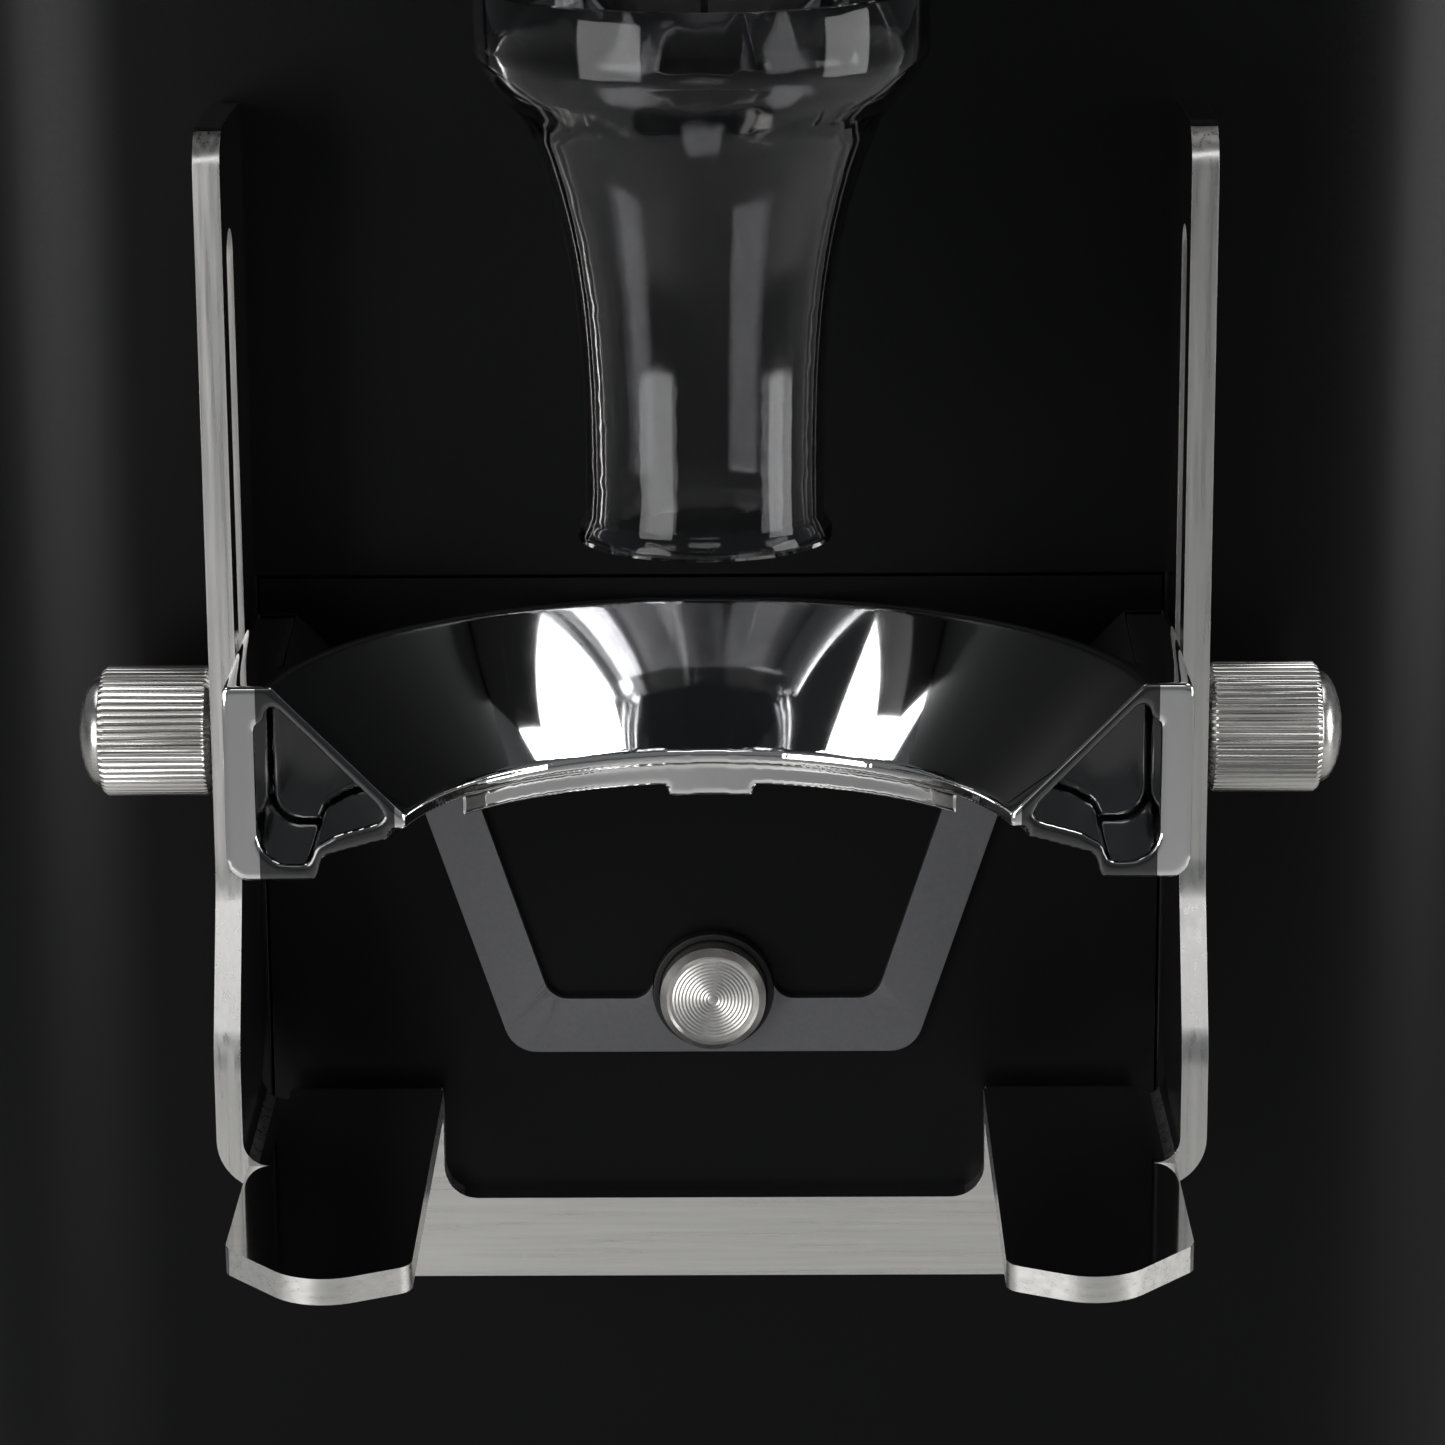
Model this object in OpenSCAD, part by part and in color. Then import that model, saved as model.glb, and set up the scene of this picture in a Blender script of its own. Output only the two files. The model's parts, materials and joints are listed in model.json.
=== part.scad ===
// Free-standing on-demand burr coffee grinder with a height-adjustable dosing fork.
// +X is to the operator's right, the front faces -Y, +Z is up.
// The origin is the centre of the footprint at floor level. Millimetres throughout.

/* [Column] */
// Width of the column and of the plinth
body_w = 200; // [190:1:210]
// Depth of the plinth, front to back
body_d = 283; // [275:1:300]
// Depth of the column behind its flat front panel
column_d = 181; // [178:1:183]
// Radius of the column's two upright front corners
front_r = 33.5; // [28:0.5:36]
// Radius of the column's two upright rear corners
rear_r = 20; // [12:1:24]
// Height of the column's lower edge above the floor
column_z0 = 42; // [40:1:46]
// Height of the top deck's underside above the floor
deck_z = 396; // [392:1:400]
// Sheet thickness of the column and its covers
skin = 3; // [2:0.5:3]

/* [Dosing area] */
// Distance from the front panel to the upright axis of the spout
spout_reach = 50; // [48:0.5:54]
// Distance from the front panel to the axis of the fork's clamp knobs
knob_reach = 16; // [15:0.5:18]
// Height of the clamp knobs' axis with the fork at its lowest
knob_z = 219.6; // [216:0.2:222]
// Upward travel of the fork
fork_travel = 50; // [20:1:50]
// Height of the tongues' upper face, where the basket holder rests
tongue_z = 172.3; // [170:0.1:174]
// Height of the start button's axis
button_z = 183.15; // [182:0.05:186]
// Height of the outlet nozzle's axis
nozzle_z = 314.3; // [312:0.1:316]

/* [Grinding unit] */
// Distance from the front panel to the upright axis of motor and burrs
burr_reach = 70; // [70:1:72]
// Outer radius of the burrs
burr_r = 32.5; // [30:0.5:33]
// Gap between the burrs at rest
burr_gap = 1; // [1:0.1:1.4]
// Outer radius of the motor's two end bells
motor_r = 62; // [60:1:62]

/* [Hopper] */
// Outer radius of the hopper at its mouth
hopper_r = 92; // [84:1:92]
// Height of the hopper's mouth above the floor
hopper_z = 575; // [540:5:580]

/* [Hidden] */
$fn = 96;
eps = 0.5;
gap = 0.3;
run = 0.05;

half_w = body_w / 2;
half_d = body_d / 2;
panel_y = half_d - 2 - column_d;
back_y = half_d - 2;
spout_y = panel_y - spout_reach;
knob_y = panel_y - knob_reach;
burr_y = panel_y + burr_reach;

// Plinth, tray and feet
foot_h = 14;
foot_r = 18;
foot_x = 76;
foot_y = 116;
plate_t = 3;
plinth_z0 = foot_h + plate_t;
plinth_r = 20;
tray_x = 83.5;
tray_y0 = -half_d + 10;
tray_y1 = panel_y - 11;
tray_z0 = 28;
tray_wall = 1.2;

// Bracket
sheet = 3;
side_x1 = 56.5;
side_x0 = side_x1 - sheet;
bend_r = 6;
tongue_x0 = 32.2;
tongue_x1 = 53;
notch_x = 32.5;
notch_z = 157.5;
bracket_z0 = 147.5;
bracket_z1 = 290;
side_front = panel_y - 32;
side_front_top = panel_y - 24;
stud_r = 2.5;
stud_at = [[22, 153], [44.5, 160]];
slot_half = 3.2;

// Front panel and its insert
insert_x = 53.2;
insert_z0 = 150;
insert_z1 = 233.9;
seam = 0.25;
lip_x = 36;

// Fork: a funnel cut off by an upright plane just behind its own axis
rim_z = knob_z + 11.9;
rim_r = 48.5;
throat_z = knob_z - 2.8;
throat_r = 34.3;
recess_r = 36.2;
band_z = knob_z - 7.3;
post_z = knob_z - 10.3;
fork_x = side_x0 - gap;
fork_front = panel_y - 42.2;
fork_back = panel_y - 8;
pocket_depth = 18;
groove_depth = 1.4;
funnel_wall = 2.6;
post_wall = 3.5;
clamp_bore_r = 3;

// Knobs
knob_r = 7.5;
knob_x0 = side_x1 + gap;
knob_x1 = 69.8;
knob_tip = 2.6;
knurls = 44;
knurl_depth = 0.35;
knob_stud_x = 42;

// Button
button_r = 6.3;
button_face = panel_y - 5.2;
button_back = panel_y + 0.5;
sleeve_r = 7.2;
shoulder_r = 2.6;
sleeve_front = panel_y - 1.8;
sleeve_floor = panel_y + 12;
sleeve_back = panel_y + 16;
stem_r = 2;
switch_t = 8.5;
stem_back = panel_y + 17.5;

// Spout and nozzle
nozzle_r = 17.2;
nozzle_bore = 15;
outlet_bore = 11;
nozzle_front = panel_y - 29;
cup_r = 23.8;
cup_z0 = 301.8;
cup_z1 = 308.5;
flare_z1 = 295;
flare_r = 18.9;
neck_z = 253;
neck_r = 12.75;
lip_r = 13.6;
spout_z0 = 250.3;
spout_wall = 1.8;

// Head and display
head_x = 66;
head_z0 = 340;
head_z1 = 352;
head_front = panel_y - 20;
head_top_front = panel_y - 6;
head_wall = 2.5;
display_tilt = 90 - atan((head_top_front - head_front) / (deck_z - head_z1));
display_x = 38;
display_y = 17;

// Motor stack
deck_t = 4;
motor_z0 = 96;
motor_z1 = 250;
bell_t = 12;
shaft_r = 8;
spindle_r = 7;
bearing_r = 20;
bolt_ring = 56.5;
can_r = 44;
can_wall = 3;
stator_r = 38;
rotor_r = 24.5;
winding_r0 = 26;
winding_r1 = 36;
core_z0 = 140;
core_z1 = 205;
post_at = [[78, -8], [78, 116]];

// Burr chamber
chamber_z0 = motor_z1 + 8;
chamber_r = 40;
chamber_wall = 6;
chamber_z1 = 350;
floor_z0 = 282;
floor_z1 = 288;
carrier_z0 = 291;
lower_burr_z = 300;
burr_t = 9;
upper_burr_z = lower_burr_z + burr_t + burr_gap;
upper_carrier_z = upper_burr_z + burr_t;
carrier_top = 344;

// Adjustment ring, hopper and gate
ring_z0 = deck_z + deck_t + gap;
ring_z1 = 424;
ring_r = 62;
ring_bore = 34;
collar_z1 = 434;
neck_bore = 27;
hopper_neck_r = 30;
gate_z = 450;
gate_t = 2;
gate_x = 28;
gate_length = 66;
gate_body_r = 38;
hopper_wall = 3;
lid_t = 13;

// Rear panel
window_x = 76;
window_z0 = 56;
window_z1 = 382;
inlet_at = [-38, 72];
switch_at = [-38, 118];
switch_pivot_y = back_y - 6;
rocker_r = 10.2;
rocker_x = 7.5;
rocker_tilt = 7;

// ---- Outline helpers ----

function unit(v) = v / norm(v);

// The points of one corner b, between neighbours a and c, turned into an arc of radius r.
function corner(a, b, c, r, steps) =
    r <= 0 ? [b] :
    let (
        u = unit(a - b),
        v = unit(c - b),
        half = acos(u * v) / 2,
        centre = b + unit(u + v) * (r / sin(half)),
        start = b + u * (r / tan(half)) - centre,
        finish = b + v * (r / tan(half)) - centre,
        from = atan2(start.y, start.x),
        turn = atan2(cross(start, finish), start * finish)
    )
    [for (i = [0:steps]) centre + r * [cos(from + turn * i / steps), sin(from + turn * i / steps)]];

// A closed outline whose corners are arcs, each with its own radius.
function rounded(points, radii, steps = 8) =
    let (n = len(points))
    [for (i = [0:n - 1])
        each corner(points[(i + n - 1) % n], points[i], points[(i + 1) % n], radii[i], steps)];

// A round outline with ribs, for knurled and grooved grips.
function ribbed(r, depth, count) =
    [for (i = [0:4 * count - 1])
        let (a = 90 * i / count, d = i % 4 < 2 ? 0 : depth)
        (r - d) * [cos(a), sin(a)]];

module box_at(x0, x1, y0, y1, z0, z1) {
    translate([x0, y0, z0])
        cube([x1 - x0, y1 - y0, z1 - z0]);
}

module disc(z0, z1, r) {
    translate([0, 0, z0])
        cylinder(h = z1 - z0, r = r);
}

// A cylinder along Y, through (x, z).
module pin_y(x, z, y0, y1, r, sides = $fn) {
    translate([x, y0, z])
        rotate([-90, 0, 0])
            cylinder(h = y1 - y0, r = r, $fn = sides);
}

// A cylinder along X, through (y, z).
module pin_x(y, z, x0, x1, r) {
    translate([x0, y, z])
        rotate([0, 90, 0])
            cylinder(h = x1 - x0, r = r);
}

// An outline drawn as (X, Z) and run along Y.
module run_y(y0, y1) {
    translate([0, y1, 0])
        rotate([90, 0, 0])
            linear_extrude(y1 - y0)
                children();
}

// An outline drawn as (Y, Z) and run along X.
module run_x(x0, x1) {
    translate([x0, 0, 0])
        rotate([90, 0, 90])
            linear_extrude(x1 - x0)
                children();
}

module at_burrs() {
    translate([0, burr_y, 0])
        children();
}

module both_sides() {
    children();
    mirror([1, 0, 0])
        children();
}

// Four copies of a piece, mirrored in X and placed at each (x, y) of a list.
module at_pairs(places) {
    for (p = places, s = [-1, 1])
        translate([s * p.x, p.y, 0])
            children();
}

module round_rect(x, y0, y1, r) {
    translate([-x + r, y0])
        square([2 * (x - r), y1 - y0]);
    translate([-x, y0 + r])
        square([2 * x, y1 - y0 - 2 * r]);
    for (s = [-1, 1], y = [y0 + r, y1 - r])
        translate([s * (x - r), y])
            circle(r);
}

// Plan outline of the column, moved inwards by an inset.
module column_outline(inset) {
    x = half_w - inset;
    y0 = panel_y + inset;
    y1 = back_y - inset;
    rf = front_r - inset;
    rr = rear_r - inset;
    translate([-x, y0 + rf])
        square([2 * x, y1 - y0 - rf - rr]);
    translate([-x + rf, y0])
        square([2 * (x - rf), rf + 1]);
    translate([-x + rr, y1 - rr - 1])
        square([2 * (x - rr), rr + 1]);
    for (s = [-1, 1]) {
        translate([s * (x - rf), y0 + rf])
            circle(rf);
        translate([s * (x - rr), y1 - rr])
            circle(rr);
    }
}

// ---- Column, covers and plinth ----

module stud_holes(y0, y1, r) {
    both_sides()
        for (p = stud_at)
            pin_y(p.x, p.y, y0, y1, r);
}

// The column shell, with the rebated frame that the insert plate lies in and the rear cover's tabs.
module housing() {
    color([0.035, 0.037, 0.04])
        difference() {
            union() {
                translate([0, 0, column_z0])
                    linear_extrude(deck_z - column_z0)
                        difference() {
                            column_outline(0);
                            column_outline(skin);
                        }
                box_at(-60, 60, panel_y + 1, panel_y + skin + 2, insert_z0 - 5, insert_z1 + 5);
                both_sides()
                    for (z = [window_z0 - 2, window_z1 - 14])
                        box_at(window_x - 14, window_x + 2, back_y - skin - 3, back_y - 1, z, z + 16);
            }
            box_at(-window_x, window_x, back_y - skin, back_y + eps, window_z0, window_z1);
            box_at(-insert_x, insert_x, panel_y - eps, panel_y + skin, insert_z0, insert_z1);
            box_at(-lip_x, lip_x, panel_y, panel_y + 9, 166, insert_z1 - 8);
            stud_holes(panel_y, panel_y + 9, stud_r + 0.2);
            pin_y(0, nozzle_z, panel_y - eps, panel_y + skin + eps, nozzle_r + gap);
            box_at(-12, 12, panel_y - eps, panel_y + skin + eps, deck_z - 36, deck_z - 20);
            cover_screw_places()
                pin_y(0, 0, back_y - 9, back_y - 2, 1.6);
        }
}

module front_insert_plate() {
    color([0.03, 0.03, 0.033])
        difference() {
            box_at(-insert_x + seam, insert_x - seam, panel_y, panel_y + skin,
                insert_z0 + seam, insert_z1 - seam);
            stud_holes(panel_y - eps, panel_y + skin + eps, stud_r + 0.2);
            pin_y(0, button_z, panel_y - eps, panel_y + skin + eps, sleeve_r + run);
        }
}

module base_plate() {
    color([0.4, 0.41, 0.42])
        translate([0, 0, foot_h])
            linear_extrude(plate_t)
                difference() {
                    round_rect(half_w - 3, -half_d + 3, half_d - 3, plinth_r - 3);
                    at_pairs([[foot_x, foot_y], [foot_x, -foot_y]])
                        circle(3.1);
                    for (i = [-3:3])
                        translate([i * 12 - 2, 62])
                            square([4, 34]);
                }
}

module plinth() {
    color([0.035, 0.037, 0.04])
        difference() {
            translate([0, 0, plinth_z0])
                linear_extrude(column_z0 - plinth_z0)
                    round_rect(half_w, -half_d, half_d, plinth_r);
            translate([0, 0, plinth_z0 - eps])
                linear_extrude(column_z0 - plinth_z0 + 2 * eps)
                    column_outline(12);
            translate([0, 0, tray_z0])
                linear_extrude(20)
                    round_rect(tray_x + 0.5, tray_y0 - 0.5, tray_y1 + 0.5, 10.5);
            translate([0, 0, plinth_z0 - eps])
                linear_extrude(tray_z0 - 3 - plinth_z0 + eps)
                    round_rect(half_w - 12, -half_d + 10, tray_y1, 10);
        }
}

module feet() {
    color([0.06, 0.06, 0.06])
        at_pairs([[foot_x, foot_y], [foot_x, -foot_y]])
            difference() {
                rotate_extrude()
                    polygon([[0, 0], [foot_r - 2, 0], [foot_r, 3], [foot_r - 1.5, foot_h], [0, foot_h]]);
                disc(-eps, 6, 5);
                disc(5, foot_h + eps, 3.05);
            }
}

module foot_screws() {
    color("silver")
        at_pairs([[foot_x, foot_y], [foot_x, -foot_y]]) {
            difference() {
                disc(2.5, 6, 4.8);
                translate([0, 0, 2])
                    cylinder(h = 2.5, r = 2.2, $fn = 6);
            }
            disc(6, foot_h + plate_t, 3);
        }
}

module grounds_tray() {
    x = tray_x;
    color([0.75, 0.75, 0.76])
        difference() {
            union() {
                translate([0, 0, tray_z0])
                    linear_extrude(16)
                        round_rect(x, tray_y0, tray_y1, 10);
                translate([0, 0, column_z0 + 0.2])
                    linear_extrude(1.8)
                        round_rect(x + 3, tray_y0 - 3, tray_y1 + 3, 13);
            }
            translate([0, 0, tray_z0 + tray_wall])
                linear_extrude(20)
                    round_rect(x - tray_wall, tray_y0 + tray_wall, tray_y1 - tray_wall, 10 - tray_wall);
        }
}

module frame_posts() {
    color("silver")
        at_pairs(post_at)
            disc(foot_h + plate_t, motor_z1, 6);
}

module support_deck() {
    color([0.6, 0.61, 0.62])
        difference() {
            translate([0, 0, motor_z1])
                linear_extrude(8)
                    column_outline(skin + 1);
            at_burrs() {
                disc(motor_z1 - eps, motor_z1 + 9, 24);
                for (a = [45:90:315])
                    rotate(a)
                        translate([bolt_ring, 0, motor_z1 - eps])
                            cylinder(h = 9, r = 2.6);
            }
            box_at(-30, 30, 100, 124, motor_z1 - eps, motor_z1 + 9);
        }
}

module rear_cover() {
    color([0.05, 0.05, 0.055])
        difference() {
            box_at(-window_x + gap, window_x - gap, back_y - skin, back_y,
                window_z0 + gap, window_z1 - gap);
            for (row = [0:9], s = [-1, 1])
                translate([s * 32, 0, 196 + row * 12])
                    box_at(-22, 22, back_y - skin - eps, back_y + eps, 0, 4);
            box_at(inlet_at.x - 13.7, inlet_at.x + 13.7, back_y - 9, back_y + eps,
                inlet_at.y - 10.2, inlet_at.y + 10.2);
            box_at(switch_at.x - 10.2, switch_at.x + 10.2, back_y - 9, back_y + eps,
                switch_at.y - 13.2, switch_at.y + 13.2);
            cover_screw_places()
                pin_y(0, 0, back_y - 9, back_y + eps, 1.8);
        }
}

module cover_screw_places() {
    for (s = [-1, 1], z = [window_z0 + 8, window_z1 - 8])
        translate([s * (window_x - 7), 0, z])
            children();
}

module rear_cover_screws() {
    color("silver")
        cover_screw_places() {
            pin_y(0, 0, back_y - 9, back_y, 1.55);
            difference() {
                pin_y(0, 0, back_y, back_y + 1.8, 3.2);
                pin_y(0, 0, back_y + 0.8, back_y + 2, 1.3, 6);
            }
        }
}

module top_deck() {
    color([0.035, 0.037, 0.04])
        difference() {
            translate([0, 0, deck_z])
                linear_extrude(deck_t) {
                    column_outline(0);
                    translate([-head_x, head_top_front])
                        square([2 * head_x, 60]);
                }
            at_burrs()
                disc(deck_z - eps, deck_z + deck_t + eps, 43);
        }
}

// ---- Head and display ----

module at_display() {
    translate([0, (head_front + head_top_front) / 2, (head_z1 + deck_z) / 2])
        rotate([display_tilt, 0, 0])
            children();
}

module head_cover() {
    w = head_wall;
    color([0.04, 0.04, 0.043])
        difference() {
            run_x(-head_x, head_x)
                polygon([[panel_y, head_z0], [head_front + 10, head_z0], [head_front, head_z1],
                    [head_top_front, deck_z], [panel_y, deck_z]]);
            run_x(-head_x + w, head_x - w)
                polygon([[panel_y + eps, head_z0 + w], [head_front + 11.2, head_z0 + w],
                    [head_front + w + 0.3, head_z1 + 0.6], [head_top_front + w + 0.1, deck_z + eps],
                    [panel_y + eps, deck_z + eps]]);
            at_display()
                translate([-display_x, -display_y, -4])
                    cube([2 * display_x, 2 * display_y, 8]);
        }
}

module display_bezel() {
    color([0.7, 0.7, 0.72])
        at_display()
            linear_extrude(1.2)
                difference() {
                    round_rect(display_x + 4, -display_y - 4, display_y + 4, 5);
                    round_rect(display_x - 1, -display_y + 1, display_y - 1, 2);
                }
}

module display_lens() {
    color([0.02, 0.02, 0.03])
        at_display()
            translate([0, 0, -2])
                linear_extrude(2)
                    round_rect(display_x - gap, -display_y + gap, display_y - gap, 0.5);
}

module display_board() {
    color([0.05, 0.3, 0.15])
        at_display() {
            translate([-34, -15, -8])
                cube([68, 30, 1.6]);
            translate([-32, -13, -6.4])
                cube([64, 26, 4.4]);
        }
}

// ---- Holder bracket, fork and knobs ----

// A quarter of a bent sheet: inner radius bend_r - sheet, outer radius bend_r.
module bend_profile(cx, cz, sx, sz) {
    intersection() {
        translate([cx, cz])
            difference() {
                circle(bend_r);
                circle(bend_r - sheet);
            }
        translate([cx + (sx < 0 ? -bend_r : 0), cz + (sz < 0 ? -bend_r : 0)])
            square(bend_r);
    }
}

module tongue() {
    translate([0, 0, tongue_z - sheet])
        linear_extrude(sheet)
            polygon(rounded([
                [tongue_x0, panel_y - bend_r],
                [tongue_x0, panel_y - 63.6],
                [43.3, panel_y - 69.2],
                [tongue_x1, panel_y - 58],
                [tongue_x1, side_front],
                [side_x1 - bend_r, side_front],
                [side_x1 - bend_r, panel_y - bend_r]
            ], [0, 2.5, 7, 2.5, 0, 0, 0]));
}

module side_plate() {
    z0 = tongue_z - sheet + bend_r;
    difference() {
        run_x(side_x0, side_x1)
            polygon(rounded([
                [side_front, z0],
                [side_front, 186],
                [side_front_top, 204],
                [side_front_top, bracket_z1],
                [panel_y, bracket_z1],
                [panel_y, z0 + 6],
                [panel_y - 9, z0]
            ], [0, 12, 12, 5, 3, 0, 0]));
        clamp_slot(side_x0 - eps, side_x1 + eps);
    }
    run_y(side_front, panel_y - 9)
        bend_profile(side_x1 - bend_r, z0, 1, -1);
}

// The upright slot that the knob's stud slides in.
module clamp_slot(x0, x1) {
    pin_x(knob_y, knob_z, x0, x1, slot_half);
    pin_x(knob_y, knob_z + fork_travel + 5, x0, x1, slot_half);
    box_at(x0, x1, knob_y - slot_half, knob_y + slot_half, knob_z, knob_z + fork_travel + 5);
}

module bracket() {
    color([0.72, 0.72, 0.72]) {
        run_y(panel_y - sheet, panel_y)
            difference() {
                translate([-tongue_x1, bracket_z0])
                    square([2 * tongue_x1, tongue_z - bend_r - bracket_z0]);
                translate([0, notch_z])
                    round_rect(notch_x, 0, 40, 4);
            }
        both_sides() {
            run_x(tongue_x0 + 0.3, side_x1 - bend_r)
                bend_profile(panel_y - bend_r, tongue_z - bend_r, 1, 1);
            tongue();
            side_plate();
            for (p = stud_at)
                pin_y(p.x, p.y, panel_y - sheet + 1, panel_y + 14, stud_r);
        }
    }
}

module bracket_nuts() {
    y0 = panel_y + skin + 2;
    color("silver")
        both_sides()
            for (p = stud_at)
                difference() {
                    union() {
                        pin_y(p.x, p.y, y0, y0 + 1, 5);
                        pin_y(p.x, p.y, y0 + 1, y0 + 5, 4.6, 6);
                    }
                    pin_y(p.x, p.y, y0 - eps, y0 + 6, stud_r);
                }
}

// Satin guide on the panel: a trapezoid open at the top, round the button.
module guide_inlay() {
    z0 = button_z - 7.7;
    flare = 0.335;
    leg = 7;
    top = 216;
    color([0.42, 0.43, 0.44])
        run_y(panel_y - 1.2, panel_y)
            difference() {
                polygon(rounded([
                    [-24, z0], [24, z0],
                    [24 + flare * (top - z0), top], [-24 - flare * (top - z0), top]
                ], [4, 4, 0, 0]));
                // Open middle, which leaves short rounded shoulders beside the button
                offset(r = shoulder_r)
                    offset(r = -shoulder_r)
                        difference() {
                            polygon(rounded([
                                [-23 + leg / 2, z0 + 6.7], [23 - leg / 2, z0 + 6.7],
                                [23 - leg / 2 + flare * (top + 2 - z0), top + 9],
                                [-23 + leg / 2 - flare * (top + 2 - z0), top + 9]
                            ], [3, 3, 0, 0]));
                            translate([0, button_z])
                                circle(sleeve_r);
                        }
                translate([0, button_z])
                    circle(sleeve_r + run);
            }
}

// Everything inside the funnel: the cone, the throat and the recess below it.
module funnel_hollow() {
    translate([0, spout_y, 0])
        rotate_extrude($fn = 128)
            polygon([
                [0, post_z - 5], [recess_r, post_z - 5], [recess_r, throat_z - 1.6],
                [throat_r, throat_z - 1.6], [throat_r, throat_z], [rim_r, rim_z],
                [rim_r, rim_z + 5], [0, rim_z + 5]
            ]);
}

module funnel_wall_solid() {
    w = funnel_wall;
    intersection() {
        translate([0, spout_y, 0])
            rotate_extrude($fn = 128)
                polygon([
                    [20, throat_z - 1.6], [recess_r + w + 0.6, throat_z - 1.6],
                    [recess_r + w + 0.6, throat_z + 0.6], [rim_r + 1.6, rim_z - 2], [rim_r + 1.6, rim_z],
                    [20, rim_z]
                ]);
        box_at(-60, 60, fork_front, panel_y - 0.6, 200, 240);
    }
}

module fork_arm() {
    run_y(fork_front, fork_back)
        polygon(rounded([
            [fork_x, post_z], [43.4, post_z], [42.7, post_z + 2.7], [33.6, post_z + 5.2],
            [33.6, throat_z], [47.9, rim_z], [fork_x, rim_z]
        ], [2.5, 0.8, 0.8, 0.4, 0, 0, 0.8]));
}

// Open pocket in the front of an arm, with a narrow groove beside it
module arm_pocket() {
    run_y(fork_front - eps, fork_front + pocket_depth)
        polygon(rounded([
            [fork_x - post_wall, rim_z - 4.4], [48.7, rim_z - 3.9], [48.3, rim_z - 2.4],
            [47.2, rim_z - 2.4], [36.4, throat_z + 1.2], [35.7, throat_z - 0.2],
            [36.3, throat_z - 0.9], [41, throat_z - 2.2], [43.4, throat_z - 3.6],
            [44.2, post_z + 1.9], [fork_x - post_wall, post_z + 1.9]
        ], [0.6, 0.6, 0.4, 0.3, 0.3, 0.3, 0.4, 1, 0.8, 0.6, 3.5], 5));
    box_at(fork_x - 1.75, fork_x - 1.35, fork_front - eps, fork_front + groove_depth,
        post_z + 5.2, rim_z - 2);
}

module fork() {
    color([0.85, 0.86, 0.88])
        difference() {
            union() {
                funnel_wall_solid();
                both_sides()
                    fork_arm();
                // Lower band that locates the basket holder's rim, with its centre tab
                intersection() {
                    translate([0, spout_y, 0])
                        rotate_extrude($fn = 128)
                            polygon([
                                [recess_r, band_z], [recess_r + 3, band_z],
                                [recess_r + 3, throat_z - 1], [recess_r, throat_z - 1]
                            ]);
                    box_at(-28, 28, spout_y, panel_y - 1, 200, 240);
                }
                intersection() {
                    translate([0, spout_y, 0])
                        rotate_extrude($fn = 128)
                            polygon([
                                [recess_r, band_z - 1.4], [recess_r + 3, band_z - 1.4],
                                [recess_r + 3, band_z + 1], [recess_r, band_z + 1]
                            ]);
                    box_at(-5, 5, spout_y, panel_y - 1, 200, 240);
                }
            }
            funnel_hollow();
            both_sides() {
                arm_pocket();
                pin_x(knob_y, knob_z, knob_stud_x - 2, fork_x + eps, clamp_bore_r + run);
            }
        }
}

module knob() {
    color([0.72, 0.72, 0.72])
        translate([0, knob_y, knob_z])
            rotate([0, 90, 0]) {
                disc(knob_stud_x, knob_x0 + 1, clamp_bore_r);
                disc(knob_x0, knob_x0 + 0.8, knob_r - 0.6);
                translate([0, 0, knob_x0 + 0.8])
                    linear_extrude(knob_x1 - knob_x0 - 0.8)
                        polygon(ribbed(knob_r, knurl_depth, knurls));
                // Domed end
                intersection() {
                    translate([0, 0, knob_x1 + knob_tip - 13.6])
                        sphere(r = 13.6);
                    disc(knob_x1 - 0.5, knob_x1 + knob_tip, knob_r - 0.4);
                }
            }
}

module knob_right() {
    knob();
}

module knob_left() {
    mirror([1, 0, 0])
        knob();
}

// ---- Start button ----

module start_button() {
    color([0.7, 0.7, 0.7]) {
        translate([0, button_face, button_z])
            rotate([-90, 0, 0])
                rotate_extrude()
                    polygon([
                        [0, 0.25], [button_r - 1.1, 0.25], [button_r - 0.8, 0],
                        [button_r, 0.8], [button_r, button_back - button_face],
                        [0, button_back - button_face]
                    ]);
        pin_y(0, button_z, button_back - 1, stem_back, stem_r);
    }
}

module button_sleeve() {
    color([0.08, 0.08, 0.085])
        difference() {
            pin_y(0, button_z, sleeve_front, sleeve_back, sleeve_r);
            pin_y(0, button_z, sleeve_front - eps, sleeve_floor, button_r + 0.1);
            pin_y(0, button_z, sleeve_floor - eps, sleeve_back + eps, stem_r + run);
        }
}

module button_nut() {
    color("silver")
        difference() {
            pin_y(0, button_z, panel_y + skin, panel_y + skin + 4, 11, 6);
            pin_y(0, button_z, panel_y, panel_y + skin + 5, sleeve_r);
        }
}

module button_spring() {
    turns = 6;
    length = sleeve_floor - button_back - 1.6;
    color("silver")
        translate([0, button_back + 0.8, button_z])
            rotate([-90, 0, 0])
                linear_extrude(length, twist = -360 * turns, slices = 14 * turns, $fn = 8)
                    translate([4.3, 0])
                        circle(0.55);
}

// The switch's terminals point down, so that it stays clear of the motor
module micro_switch() {
    color([0.1, 0.1, 0.11]) {
        difference() {
            box_at(-10, 10, sleeve_back, sleeve_back + switch_t, button_z - 6, button_z + 6);
            pin_y(0, button_z, sleeve_back - eps, sleeve_back + 6, stem_r + 1);
        }
        for (x = [-6, 6])
            box_at(x - 0.4, x + 0.4, sleeve_back + 2, sleeve_back + 5, button_z - 12, button_z - 6);
    }
}

// ---- Outlet nozzle and clear spout ----

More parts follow.
